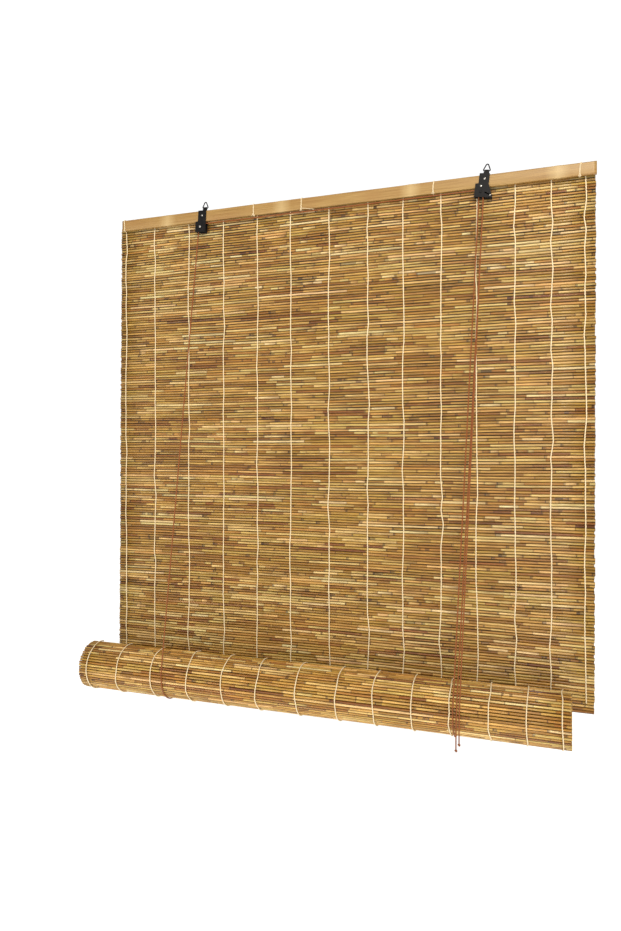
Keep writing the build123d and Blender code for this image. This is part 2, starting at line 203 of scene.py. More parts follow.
@dataclass(frozen=True)
class ReedStalk(Finish):
    """Dried river reed, unvarnished: a silky straw skin that changes colour at each joint of the stalk."""

    joint_shortest: float = 22.0  # millimetres between two joints or sheath ends of a stalk
    joint_spread: float = 95.0
    joint_wander: float = 160.0  # how far a neighbouring stretch of the stalk shifts its joints
    joint_ring: float = 1.2
    bud_length: float = 5.0
    budless: float = 0.72  # share of the joints that have no bud
    fibre_width: float = 0.5  # drawn coarser than the real 0.1 mm, so that it shows
    own_tone: float = 0.68  # share of a length's tone that is its own, and not its stalk's
    # above one only on the roll's copy, which is painted lighter
    brightness: float = 1.0
    straws: Stops = (
        (0.04, "FCEBC0"), (0.22, "EFD494"), (0.4, "D6B264"), (0.6, "BE9644"),
        (0.76, "A67C30"), (0.86, "986420"), (0.94, "7E4714"), (1.0, "60330F"),
    )
    tints: Stops = ((0.0, "DDE0A0"), (0.5, "FFF2CC"), (0.85, "FFE0B0"), (1.0, "FFCC94"))

    def stalk_parts(self, add: AddNode) -> tuple[Any, Any, Any, Any, Any]:
        """Cuts each stalk into its own lengths.

        Args:
            add: adds a node to the material.

        Returns:
            The length's three random numbers, the distance and the share into it, the painted shade of the creases
            between stalks, and the stalk's number.
        """
        x = add("SeparateXYZ", [add("TexCoord")["Object"]])[0]
        stalk = add("Attribute", attribute_name="stalk")
        parts = add("SeparateColor", [stalk["Color"]])
        start, spacing, number = parts[0], parts[1], parts[2]
        length = add("Math:MULTIPLY_ADD", (spacing, self.joint_spread * MM, self.joint_shortest * MM))[0]
        stretch = add("CombineXYZ", (x, add("Math:MULTIPLY", (number, 97.0))[0]))[0]
        bend = add("TexNoise", {"Vector": stretch, "Scale": 9.0}, noise_dimensions="2D")[0]
        wander = add("Math:MULTIPLY_ADD", (bend, self.joint_wander * MM, start))[0]
        shifted = add("Math:ADD", (x, wander))[0]
        along = add("Math:DIVIDE", (shifted, length))[0]
        share = add("Math:FRACT", [along])[0]
        middle = add("Math:ADD", (add("Math:FLOOR", [along])[0], 0.5))[0]
        cell = add("CombineXYZ", (middle, add("Math:MULTIPLY", (number, 731.0))[0]))[0]
        chance = add("TexWhiteNoise", {"Vector": cell}, noise_dimensions="2D")["Color"]
        into = add("Math:MULTIPLY", (share, length))[0]
        return add("SeparateColor", [chance]), into, share, stalk["Alpha"], number

    def pattern(self, add: AddNode) -> Look:
        """Makes straw tones by length of stalk, dark joints, fibres along the stalk and painted shade in the creases
        between stalks.

        Args:
            add: adds a node to the material.

        Returns:
            The colour, the roughness and the height.
        """
        drawn, into, share, crease_shade, number = self.stalk_parts(add)
        row = add("Math:MULTIPLY", (number, 517.0))[0]
        row_tone = add("TexWhiteNoise", {"W": row}, noise_dimensions="1D")["Value"]
        row_part = add("Math:MULTIPLY", (row_tone, 1 - self.own_tone))[0]
        tone = add("Math:MULTIPLY_ADD", (drawn[0], self.own_tone, row_part))[0]
        straw = add("ValToRGB", [tone], self.straws)[0]
        tint = add("ValToRGB", [drawn[1]], self.tints)[0]

        # a dry sheath darkens the far end of some lengths
        far = add("Math:POWER", (share, 2.0))[0]
        sheath = add("Math:MULTIPLY", (drawn[2], 0.75))[0]
        covered = add("Math:MULTIPLY", (far, sheath))[0]
        fine = 1 / (self.fibre_width * MM)
        fibres = add("TexNoise", at_scale(add, (38.0, fine, fine), 3.0))[0]
        streak = add("ValToRGB", [fibres], ((0.34, "7E5E34"), (0.6, "FFFFFF")))[0]
        ring = add("Math:LESS_THAN", (into, self.joint_ring * MM))[0]
        ringed = add("Math:MULTIPLY", (ring, 0.7))[0]
        has_bud = add("Math:GREATER_THAN", (drawn[2], self.budless))[0]
        reach = add("Math:MULTIPLY", (has_bud, self.bud_length * MM))[0]
        bud = add("Math:LESS_THAN", (into, reach))[0]
        budded = add("Math:MULTIPLY", (bud, 0.55))[0]
        # painted shade: the creases between reeds are multiplied towards near black, deeper along some stretches
        gaps = add("TexNoise", at_scale(add, (7.0, 60.0, 60.0), 2.0))[0]
        gap = add("ValToRGB", [gaps], ((0.4, "000000"), (0.66, "FFFFFF")))[0]
        deep = add("Math:MULTIPLY_ADD", (gap, 0.6, 0.75))[0]
        crease_shade_amount = add("Math:MULTIPLY", (crease_shade, deep), use_clamp=True)[0]
        colour = straw
        for amount, layer, blend in (
            (0.55, tint, "MULTIPLY"),
            (covered, linear("8A5A22"), "MIX"),
            (0.75, streak, "MULTIPLY"),
            (ringed, linear("4A2A10"), "MIX"),
            (budded, linear("2C180A"), "MIX"),
            (crease_shade_amount, linear("1E0E02"), "MULTIPLY"),
        ):
            colour = add("Mix", {0: amount, 6: colour, 7: layer}, data_type="RGBA", blend_type=blend)[2]
        bright = add("HueSaturation", {"Value": self.brightness, "Color": colour})[0]
        rough = add("Math:MULTIPLY_ADD", (drawn[1], 0.25, self.roughness - 0.12))[0]
        return bright, rough, fibres


@dataclass(frozen=True)
class BambooSlat(Finish):
    """Split bamboo, planed and waxed: tan with fine straight grain and paler bands at the culm's joints."""

    joint_spacing: float = 245.0
    joint_start: float = 1080.0  # keeps the distance along the slat above nought
    band_width: float = 20.0
    grain_width: float = 0.8
    tans: Stops = ((0.25, "6F5226"), (0.42, "8C6C38"), (0.55, "9C7C45"), (0.72, "AC8D5A"))

    def pattern(self, add: AddNode) -> Look:
        """Makes grain along the slat, warmer clouds, and soft pale bands.

        Args:
            add: adds a node to the material.

        Returns:
            The colour, the roughness and the height.
        """
        fine = 1 / (self.grain_width * MM)
        grain = add("TexNoise", at_scale(add, (12.0, fine, fine), 5.0) | {"Roughness": 0.6})[0]
        base = add("ValToRGB", [grain], self.tans)[0]
        clouds = add("TexNoise", at_scale(add, (9.0, 30.0, 30.0), 2.0))[0]
        cloud = add("ValToRGB", [clouds], ((0.4, "000000"), (0.7, "FFFFFF")))[0]
        warmth = add("Math:MULTIPLY", (cloud, 0.5))[0]
        warm = add("Mix", {0: warmth, 6: base, 7: linear("865A2B")}, data_type="RGBA")[2]
        x = add("SeparateXYZ", [add("TexCoord")["Object"]])[0]
        run = add("Math:ADD", (x, self.joint_start * MM))[0]
        along = add("Math:PINGPONG", (run, self.joint_spacing * MM / 2))[0]
        near = add("Math:DIVIDE", (along, self.band_width * MM))[0]
        band = add("ValToRGB", [near], ((0.0, "FFFFFF"), (1.0, "000000")))[0]
        paleness = add("Math:MULTIPLY", (band, 0.6))[0]
        banded = add("Mix", {0: paleness, 6: warm, 7: linear("BDA574")}, data_type="RGBA")[2]
        rough = add("Math:MULTIPLY_ADD", (grain, 0.25, self.roughness - 0.1))[0]
        return banded, rough, grain


@dataclass(frozen=True)
class TwistedThread(Finish):
    """Soft spun thread or cord: plies lie aslant in stripes, with a dry fuzzy surface; the grooves between plies are
    painted darker as shade.
    """

    light: str = "F2E2BF"
    dark: str = "B79F72"
    ply: float = 1.6  # millimetres between two stripes
    slant: float = 0.9
    fuzz: float = 0.4  # millimetres between two tufts

    def pattern(self, add: AddNode) -> Look:
        """Makes slanting stripes of the plies, with painted shade in the grooves between them, softened by fibre noise.

        Args:
            add: adds a node to the material.

        Returns:
            The colour, the roughness and the height.
        """
        place = add("SeparateXYZ", [add("TexCoord")["Object"]])
        depth = add("Math:MULTIPLY", (place[1], 0.7))[0]
        across = add("Math:ADD", (place[0], depth))[0]
        slanted = add("Math:MULTIPLY_ADD", (across, self.slant, place[2]))[0]
        turns = add("Math:MULTIPLY", (slanted, 2 * math.pi / (self.ply * MM)))[0]
        wave = add("Math:SINE", [turns])[0]
        stripe = add("Math:MULTIPLY_ADD", (wave, 0.5, 0.5))[0]
        tufts = 1 / (self.fuzz * MM)
        fuzz = add("TexNoise", at_scale(add, (tufts,) * 3, 2.0))[0]
        height = add("Math:MULTIPLY_ADD", (fuzz, 0.35, stripe))[0]
        # painted shade: the low grooves between plies take the dark colour, the raised plies the light one
        lit = add("Math:MULTIPLY", (height, 0.75))[0]
        colour = add("ValToRGB", [lit], ((0.1, self.dark), (0.6, self.light)))[0]
        return colour, self.roughness, height


@dataclass(frozen=True)
class MottledSkin(Finish):
    """A hard skin whose tone, sheen and relief vary a little; scales are in repeats a metre."""

    tones: Stops = ()
    spots: Point = (700.0, 700.0, 700.0)
    spot_detail: float = 3.0
    relief: Point = (700.0, 700.0, 700.0)
    relief_detail: float = 3.0
    sheen_change: float = 0.2

    def pattern(self, add: AddNode) -> Look:
        """Makes spots of tone and sheen, and a fine relief.

        Args:
            add: adds a node to the material.

        Returns:
            The colour, the roughness and the height.
        """
        spots = add("TexNoise", at_scale(add, self.spots, self.spot_detail))[0]
        relief = add("TexNoise", at_scale(add, self.relief, self.relief_detail))[0]
        colour = add("ValToRGB", [spots], self.tones)[0]
        sheen = (spots, self.sheen_change, self.roughness - 0.1)
        return colour, add("Math:MULTIPLY_ADD", sheen)[0], relief


REED = ReedStalk("dried_river_reed", roughness=0.42, bump=0.35, bump_depth=0.15)
# painted light: the roll's reeds are the same reed drawn 1.2 times brighter, as if the roll caught more light
ROLL_REED_PAINTED_LIGHTER = replace(REED, name="dried_river_reed_on_the_roll", brightness=1.2)
BAMBOO = BambooSlat("waxed_split_bamboo", roughness=0.42, bump=0.25, bump_depth=0.12)
STRING = TwistedThread("spun_cotton_warp_string", roughness=0.85, bump=0.6, bump_depth=0.25)
TIE = TwistedThread("spun_cotton_tie_thread", roughness=0.85, bump=0.5, bump_depth=0.15, ply=1.1)
CORD = TwistedThread(
    "dyed_polyester_lift_cord", roughness=0.7, bump=0.6, bump_depth=0.3, light="92501A", dark="532A0A", ply=2.4
)
# stove-enamelled steel stampings: near black, semi-gloss, with orange peel and a little dust
ENAMEL = MottledSkin(
    "black_stove_enamel", roughness=0.42, gloss=0.18, bump=0.1, bump_depth=0.04, sheen_change=0.3,
    tones=((0.35, "070708"), (0.6, "0D0C0D"), (0.8, "1C1A18")),
    spots=(120.0, 120.0, 120.0), spot_detail=4.0, relief=(900.0, 900.0, 900.0), relief_detail=3.0,
)
# nickel-plated steel rivets and axles: bright, with fine turning marks
NICKEL = MottledSkin(
    "nickel_plated_steel", roughness=0.25, metallic=1.0, bump=0.08, bump_depth=0.02,
    tones=((0.0, "D8D4CC"), (1.0, "B9B4AA")),
    spots=(1500.0, 300.0, 1500.0), spot_detail=2.0, relief=(1500.0, 300.0, 1500.0), relief_detail=2.0,
)
# moulded nylon pulleys: dull grey and faintly mottled
NYLON = MottledSkin(
    "grey_moulded_nylon", roughness=0.5, ior=1.53, bump=0.1, bump_depth=0.05,
    tones=((0.35, "55565A"), (0.65, "77787B")),
)


# ---- meshes and pieces


class Body(Enum):
    """The CAD bodies that the pieces ride on."""

    ROOT = "root"
    SLINGS = "slings"
    ROLL = "roll"
    PULL_ENDS = "pull_ends"


class Side(Enum):
    """The blind's two sides, as seen from the room."""

    LEFT = "left"
    RIGHT = "right"


class Face(Enum):
    """The mat's two faces, each with its direction along Y."""

    FRONT = -1
    BACK = 1


def finish_piece(name: str, bm: bmesh.types.BMesh, finish: Finish) -> bpy.types.Object:
    """Makes an object at the origin from a bmesh, and dresses it.

    Args:
        name: the piece's name.
        bm: its mesh, which is freed.
        finish: what it is made of.

    Returns:
        The linked object.
    """
    mesh = bpy.data.meshes.new(name)
    bm.to_mesh(mesh)
    bm.free()
    mesh.shade_smooth()
    piece = bpy.data.objects.new(name, mesh)
    bpy.context.scene.collection.objects.link(piece)
    mesh.materials.append(finish.material())
    LOG.info("%s: %d faces", name, len(mesh.polygons))
    return piece


def attach(piece: bpy.types.Object, body: Body, slot: str, *nodes: str) -> None:
    """Puts a piece on its body.

    Args:
        piece: the piece.
        body: what it moves with.
        slot: not used.
        nodes: the CAD nodes that it stands for, if any.
    """
    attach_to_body(piece, body.value)
    if nodes:
        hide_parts(*nodes)


def smooth_curve(
    name: str, lines: Iterable[Sequence[Point]], closed: bool = False, steps: int = 3
) -> bpy.types.Object:
    """Makes a curve object of NURBS splines through the neighbourhood of the points.

    Args:
        name: the curve's name.
        lines: the points of each spline, in metres.
        closed: whether the splines close.
        steps: segments between two points.

    Returns:
        The linked curve, with no thickness.
    """
    curve = bpy.data.curves.new(name, "CURVE")
    curve.dimensions = "3D"
    for line in lines:
        spline = curve.splines.new("NURBS")
        spline.points.add(len(line) - 1)
        for point, place in zip(spline.points, line):
            point.co = (*place, 1.0)
        spline.order_u = 3
        spline.use_endpoint_u = not closed
        spline.use_cyclic_u = closed
        spline.resolution_u = steps
    piece = bpy.data.objects.new(name, curve)
    bpy.context.scene.collection.objects.link(piece)
    return piece


def centre_line(piece: bpy.types.Object) -> list[Vector]:
    """Reads the points that a curve with no thickness runs through.

    Args:
        piece: the curve object.

    Returns:
        Its points in order.
    """
    graph = bpy.context.evaluated_depsgraph_get()
    line = bpy.data.meshes.new_from_object(piece.evaluated_get(graph), depsgraph=graph)
    points = [vertex.co.copy() for vertex in line.vertices]
    bpy.data.meshes.remove(line)
    return points


def tube_of(
    name: str,
    lines: Iterable[Sequence[Point]],
    diameter: float,
    finish: Finish,
    closed: bool = False,
    steps: int = 3,
    roundness: int = 2,
) -> bpy.types.Object:
    """Makes a mesh tube along smooth splines.

    Args:
        name: the piece's name.
        lines: the points of each spline, in metres.
        diameter: in metres.
        finish: what it is made of.
        closed: whether the splines close.
        steps: segments between two points.
        roundness: Blender's bevel resolution.

    Returns:
        The linked mesh object.
    """
    guide = smooth_curve(name + "_guide", lines, closed, steps)
    guide.data.bevel_depth = diameter / 2
    guide.data.bevel_resolution = roundness
    guide.data.use_fill_caps = not closed
    graph = bpy.context.evaluated_depsgraph_get()
    mesh = bpy.data.meshes.new_from_object(guide.evaluated_get(graph), depsgraph=graph)
    mesh.name = name
    bpy.data.objects.remove(guide)
    bm = bmesh.new()
    bm.from_mesh(mesh)
    bpy.data.meshes.remove(mesh)
    bmesh.ops.remove_doubles(bm, verts=bm.verts, dist=1e-7)
    bmesh.ops.recalc_face_normals(bm, faces=bm.faces)
    return finish_piece(name, bm, finish)


@dataclass
class Stalk:
    """One reed: a thin many-sided bar along X whose thickness and line wander a little."""

    left: float
    right: float
    radius: float
    start: float  # where its joints begin, as a share
    spacing: float  # of its joints, as a share
    number: float  # its own random number
    segments: int = 16
    sides: int = 8

    def add_to(
        self,
        bm: bmesh.types.BMesh,
        place: Callable[[float], tuple[float, float]],
        crease_shade: Callable[[Vector], float],
    ) -> None:
        """Adds the reed to a mesh.

        Args:
            bm: the mesh it joins, with a loop colour layer named stalk.
            place: gives the middle's y and z at an x.
            crease_shade: how much painted shade a direction across the reed gets in the creases between reeds, from 0
                to 1.
        """
        one = bmesh.new()
        layer = one.loops.layers.float_color.new("stalk")
        length = self.right - self.left
        middle = Matrix.Translation(((self.left + self.right) / 2, 0, 0))
        bmesh.ops.create_cone(
            one,
            cap_ends=True,
            segments=self.sides,
            radius1=self.radius,
            radius2=self.radius,
            depth=length,
            matrix=middle @ Matrix.Rotation(math.pi / 2, 4, "Y"),
        )
        if self.segments > 1:
            sides = [edge for edge in one.edges if edge.calc_length() > length / 2]
            bmesh.ops.subdivide_edges(one, edges=sides, cuts=self.segments - 1, use_grid_fill=True)
        for face in one.faces:
            for loop in face.loops:
                across = Vector((0, loop.vert.co.y, loop.vert.co.z)).normalized()
                loop[layer] = (self.start, self.spacing, self.number, crease_shade(across))
        # the fourth channel carries painted shade for the creases between reeds
        for vert in one.verts:
            y, z = place(vert.co.x)
            vert.co.y += y
            vert.co.z += z
        mesh = bpy.data.meshes.new("one_stalk")
        one.to_mesh(mesh)
        one.free()
        bm.from_mesh(mesh)
        bpy.data.meshes.remove(mesh)


@dataclass
class Layout:
    """Places that the pieces share, read from the frame and given in metres."""

    batten: Sequence[Vector] = field(default_factory=partial(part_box, "head_batten"))
    mat: Sequence[Vector] = field(default_factory=partial(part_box, "hanging_reeds"))
    rolled: Sequence[Vector] = field(default_factory=partial(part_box, "rolled_mat"))
    reed: float = 4.5 * MM  # thickness of a CAD reed
    pitch: float = 4.9 * MM
    per_turn: int = 55  # reeds in the roll's outer turn
    roll_outer: float = 45.142 * MM  # the roll's outer radius
    lift: float = 0.8084  # how far the roll rises

    @property
    def mat_y(self) -> float:
        """Gives the depth of the hanging reeds' middles."""
        return (self.mat[0].y + self.mat[1].y) / 2

    @property
    def top_reed(self) -> float:
        """Gives the height of the top reed's middle."""
        return self.mat[1].z - self.reed / 2

    @property
    def rows(self) -> int:
        """Gives how many reeds hang."""
        return round((self.mat[1].z - self.mat[0].z - self.reed) / self.pitch) + 1

    @property
    def roll_axis(self) -> Vector:
        """Gives a point on the roll's axis."""
        return Vector((0, self.rolled[0].y + self.roll_outer, self.rolled[0].z + self.roll_outer))

    def shorten(self, piece: bpy.types.Object, top: float, length: float) -> None:
        """Gives a piece its own copy of its mesh.

        Args:
            piece: the piece.
            top: not used.
            length: not used.
        """
        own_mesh(piece)


@dataclass
class ReedMat:
    """The hanging mat and the roll, reed by reed."""

    layout: Layout
    radius: float = 2.66 * MM
    radius_spread: float = 0.1 * MM
    top_left: float = -458.5 * MM
    bottom_left: float = -464.5 * MM
    top_right: float = 449.0 * MM
    bottom_right: float = 446.5 * MM
    ragged: float = 0.9 * MM
    sag: float = 0.8 * MM
    shift: float = 35.0 * MM  # how far left of the hanging mat the roll lies
    roll_hole: float = 13.5 * MM  # radius of the room for the bottom batten
    roll_wave: float = 0.25 * MM
    end_stub: float = 25.0 * MM  # length of the inner turns' reeds, which show only at the roll's ends
    filler: float = 39.0 * MM  # radius of the plain bar that stands for the rest of them
    seed: int = 11

    def shade_hanging_creases(self, across: Vector) -> float:
        """Gives painted shade to a hanging reed where it faces its neighbours, more on its underside, which faces away
        from the light.
        """
        return min(1.0, 1.15 * max(0.0, -across.z) ** 1.3 + max(0.0, across.z) ** 4)

    def shade_rolled_creases(self, across: Vector, ray: Vector) -> float:
        """Gives painted shade to a rolled reed where it faces its neighbours in the turn."""
        return (1 - abs(across.dot(ray))) ** 1.25

    def line_hanging(
        self, x: float, z: float, shared: Sequence[float], own: Sequence[float]
    ) -> tuple[float, float]:
        """Gives a hanging reed's middle at one place along it.

        Args:
            x: the place.
            z: the reed's height.
            shared: phases of the waves that run through the whole mat.
            own: phases of the reed's own waves.

        Returns:
            The middle's y and z.
        """
        drift = math.sin(7 * x + shared[0] + 9 * z) + 0.6 * math.sin(17 * x + shared[1] + 31 * z)
        wander = 0.13 * math.sin(23 * x + own[0]) + 0.07 * math.sin(51 * x + own[1])
        depth = 0.4 * math.sin(5 * x + shared[2] + 12 * z) + 0.15 * math.sin(19 * x + own[1])
        return self.layout.mat_y + depth * self.sag, z + (drift + wander) * self.sag

    def line_rolled(self, x: float, y: float, z: float, ray: Vector, wave: float) -> tuple[float, float]:
        """Gives a rolled reed's middle at one place along it.

        Args:
            x: the place.
            y: the reed's depth.
            z: the reed's height.
            ray: direction from the roll's axis to the reed, or nought for a straight one.
            wave: phase of the reed's wave.

        Returns:
            The middle's y and z.
        """
        push = self.roll_wave * math.sin(9 * x + wave) - self.roll_wave
        return y + push * ray.y, z + push * ray.z

    def make_bmesh(self) -> bmesh.types.BMesh:
        """Makes a mesh ready for stalks.

        Returns:
            The mesh, with a loop colour layer named stalk.
        """
        bm = bmesh.new()
        bm.loops.layers.float_color.new("stalk")
        return bm

    def stalk(self, chance: random.Random, left: float, right: float, segments: int) -> Stalk:
        """Draws one reed's own sizes.

        Args:
            chance: the source of its sizes.
            left: its left end, before it is made ragged.
            right: its right end.
            segments: lengths that it bends in.

        Returns:
            The reed.
        """
        return Stalk(
            left - chance.uniform(-1, 1) * self.ragged,
            right + chance.uniform(-1, 1) * self.ragged,
            self.radius + chance.uniform(-1, 1) * self.radius_spread,
            chance.random(),
            chance.random(),
            chance.random(),
            segments,
        )

    def hanging(self) -> None:
        """Builds the hanging part of the mat."""
        chance = random.Random(self.seed)
        bm = self.make_bmesh()
        shared = [chance.uniform(0, 2 * math.pi) for _ in range(6)]
        for row in range(self.layout.rows):
            z = self.layout.top_reed - row * self.layout.pitch
            share = row / (self.layout.rows - 1)
            left = self.top_left + (self.bottom_left - self.top_left) * share
            right = self.top_right + (self.bottom_right - self.top_right) * share
            reed = self.stalk(chance, left, right, 16)
            own = [chance.uniform(0, 2 * math.pi) for _ in range(2)]
            reed.add_to(bm, partial(self.line_hanging, z=z, shared=shared, own=own), self.shade_hanging_creases)
        piece = finish_piece("hanging_reed_mat", bm, REED)
        attach(piece, Body.ROOT, "reed", "hanging_reeds")
        low, high = self.layout.mat
        self.layout.shorten(piece, high.z, high.z - low.z)

    def roll(self) -> None:
        """Builds the rolled part: whole reeds in the outer turn and their ends in the inner turns."""
        chance = random.Random(self.seed + 1)
        bm = self.make_bmesh()
        axis = self.layout.roll_axis
        middle = self.layout.per_turn * self.layout.pitch / (2 * math.pi)
        step = 2 * math.pi / self.layout.per_turn
        left, right = self.bottom_left - self.shift, self.bottom_right - self.shift
        angle = step / 2
        while True:
            turned = angle / (2 * math.pi)
            outer = turned < 1
            # in its last quarter the outer turn dives under its own start
            dip = max(0.0, 4 * turned - 3) if outer else turned
            radius = middle - dip * self.layout.pitch
            if radius < self.roll_hole:
                break
            ray = Vector((0, math.cos(angle), -math.sin(angle)))
            y, z = axis.y + radius * math.cos(angle), axis.z - radius * math.sin(angle)
            # painted shade for the creases between the turn's reeds
            crease_shade = partial(self.shade_rolled_creases, ray=ray)
            if outer:
                reed = self.stalk(chance, left, right, 14)
                reed.radius = min(reed.radius, self.layout.roll_outer - middle + 0.1 * MM)
                wave = chance.uniform(0, 2 * math.pi)
                reed.add_to(bm, partial(self.line_rolled, y=y, z=z, ray=ray, wave=wave), crease_shade)
            else:
                for low, high in ((left, left + self.end_stub), (right - self.end_stub, right)):
                    stub = self.stalk(chance, low, high, 1)
                    stub.add_to(bm, partial(self.line_rolled, y=y, z=z, ray=Vector(), wave=0.0), crease_shade)
            angle += step if outer else step * middle / radius
        place = Matrix.Translation(((left + right) / 2, axis.y, axis.z))
        bmesh.ops.create_cone(
            bm,
            cap_ends=True,
            segments=40,
            radius1=self.filler,
            radius2=self.filler,
            depth=right - left - self.end_stub + 1 * MM,
            matrix=place @ Matrix.Rotation(math.pi / 2, 4, "Y"),
        )
        piece = finish_piece("rolled_reed_mat", bm, ROLL_REED_PAINTED_LIGHTER)
        attach(piece, Body.ROLL, "reed", "rolled_mat")


@dataclass
class WarpStrings:
    """The strings that bind the reeds, on the hanging mat and round the roll."""

    layout: Layout
    diameter: float = 2.0 * MM
    over: float = 3.4 * MM  # from the reeds' middles to the string's, over a reed
    between: float = 2.4 * MM
    wander: float = 1.1 * MM
    roll_wander: float = 0.9 * MM
    twist: float = 0.3 * MM  # a string steps aside by this much at every reed
    top_gap: float = 0.8 * MM
    front_stop: float = 16.0 * MM  # height of the front strings' ends above the mat's, clear of the roll
    back_stop: float = 1.0 * MM
    roll_ring: float = 42.89 * MM  # radius of the ring of the outer turn's middles
    wrapped: float = 290.0  # degrees of the roll that they go round
    count: int = 14
    seed: int = 23

    def line(self, chance: random.Random, x: float, face: Face, low: float, high: float) -> list[Point]:
        """Gives the points of one string down one face of the mat.

        Args:
            chance: the source of its wander.
            x: where it hangs.
            face: the mat's face that it runs down.
            low: its lower end.
            high: its upper end.

        Returns:
            Two points a reed: over it, and in the crease below.
        """
        points = []
        kinks = [(high, 0.0)]
        while kinks[-1][0] > low:
            kinks.append((kinks[-1][0] - chance.uniform(4, 10) * self.layout.pitch, chance.gauss(0, self.wander)))
        z = high
        out = True
        while z > low:
            above = min((kink for kink in kinks if kink[0] >= z), key=lambda kink: kink[0])
            below = max((kink for kink in kinks if kink[0] < z), key=lambda kink: kink[0])
            share = (above[0] - z) / (above[0] - below[0])
            reach = self.over if out else self.between
            sway = above[1] + (below[1] - above[1]) * share
            twist = self.twist * (1 if out else -1) + 0.2 * MM * chance.uniform(-1, 1)
            points.append((x + sway + twist, self.layout.mat_y + face.value * reach, z))
            z -= self.layout.pitch / 2
            out = not out
        return points

    def hanging(self) -> None:
        """Builds each hanging string, a front and a back one."""
        chance = random.Random(self.seed)
        for number in range(1, self.count + 1):
            node = f"warp_string_{number:02d}"
            low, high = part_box(node)
            x = (low.x + high.x) / 2
            over = (x, self.layout.mat_y, high.z - self.top_gap)
            for face, stop in ((Face.FRONT, self.front_stop), (Face.BACK, self.back_stop)):
                end = low.z + stop
                line = [over] + self.line(chance, x, face, end, self.layout.top_reed)
                name = f"hanging_string_{number:02d}_{face.name.lower()}"
                piece = tube_of(name, [line], self.diameter, STRING, steps=2, roundness=1)
                attach(piece, Body.ROOT, "string", *([node] if face is Face.FRONT else []))
                self.layout.shorten(piece, high.z, high.z - end)

    def on_roll(self, shift: float) -> None:
        """Builds the strings round the roll as one piece.

        Args:
            shift: how far left of the hanging strings they lie.
        """
        chance = random.Random(self.seed + 1)
        axis = self.layout.roll_axis
        lines = []
        halves = 2 * self.layout.per_turn  # points in a whole turn
        for number in range(1, self.count + 1):
            low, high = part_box(f"warp_string_{number:02d}")
            x = (low.x + high.x) / 2 - shift
            kinks = [chance.gauss(0, self.roll_wander) for _ in range(14)]
            line = []
            for half in range(int(self.wrapped / 360 * halves)):
                out = half % 2 == 0
                angle = (half + 1) * 2 * math.pi / halves
                reach = self.roll_ring + (self.over if out else self.between)
                place, share = divmod(half / 8, 1)
                sway = kinks[int(place)] * (1 - share) + kinks[int(place) + 1] * share
                sway += self.twist * (1 if out else -1)
                line.append((x + sway, axis.y + reach * math.cos(angle), axis.z - reach * math.sin(angle)))
            lines.append(line)
        piece = tube_of("strings_round_the_roll", lines, self.diameter, STRING, steps=2, roundness=1)
        attach(piece, Body.ROLL, "string", "rolled_strings")


@dataclass
class Batten:
    """A split bamboo slat with soft edges and slightly raised joints."""

    name: str
    node: str
    body: Body
    joint_spacing: float = 245.0 * MM
    joint_start: float = 1080.0 * MM  # keeps the distance along the slat above nought
    joint_height: float = 0.35 * MM
    joint_reach: float = 5.0 * MM
    edge: float = 1.4 * MM
    back_trim: float = 0.1 * MM
    cuts: int = 150

    def build(self) -> None:
        """Builds the slat inside its CAD solid."""
        low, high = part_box(self.node)
        size, centre = high - low, (high + low) / 2
        bm = bmesh.new()
        bmesh.ops.create_cube(bm, size=1.0, matrix=Matrix.Translation(centre) @ Matrix.Diagonal((*size, 1.0)))
        long_edges = [e for e in bm.edges if abs(e.verts[0].co.x - e.verts[1].co.x) > size.x / 2]
        bmesh.ops.bevel(
            bm, geom=long_edges, offset=self.edge, segments=3, profile=0.5, affect="EDGES", material=-1
        )
        for cut in range(1, self.cuts):
            bmesh.ops.bisect_plane(
                bm,
                geom=bm.verts[:] + bm.edges[:] + bm.faces[:],
                plane_co=(low.x + size.x * cut / self.cuts, 0, 0),
                plane_no=(1, 0, 0),
            )
        for vert in bm.verts:
            along = (vert.co.x + self.joint_start) % self.joint_spacing
            ridge = math.exp(-((min(along, self.joint_spacing - along) / self.joint_reach) ** 2))
            lean = 0.22 * MM * math.sin(11 * vert.co.x + 120 * vert.co.z) + 0.1 * MM * math.sin(47 * vert.co.x)
            shrink = self.joint_height * (1 - ridge)
            side = 1 if vert.co.y > centre.y else -1
            up = 1 if vert.co.z > centre.z else -1
            vert.co.y -= side * (shrink / 2 if side < 0 else self.back_trim)
            vert.co.z -= up * (shrink + abs(lean))
        piece = finish_piece(self.name, bm, BAMBOO)
        attach(piece, self.body, "bamboo", self.node)


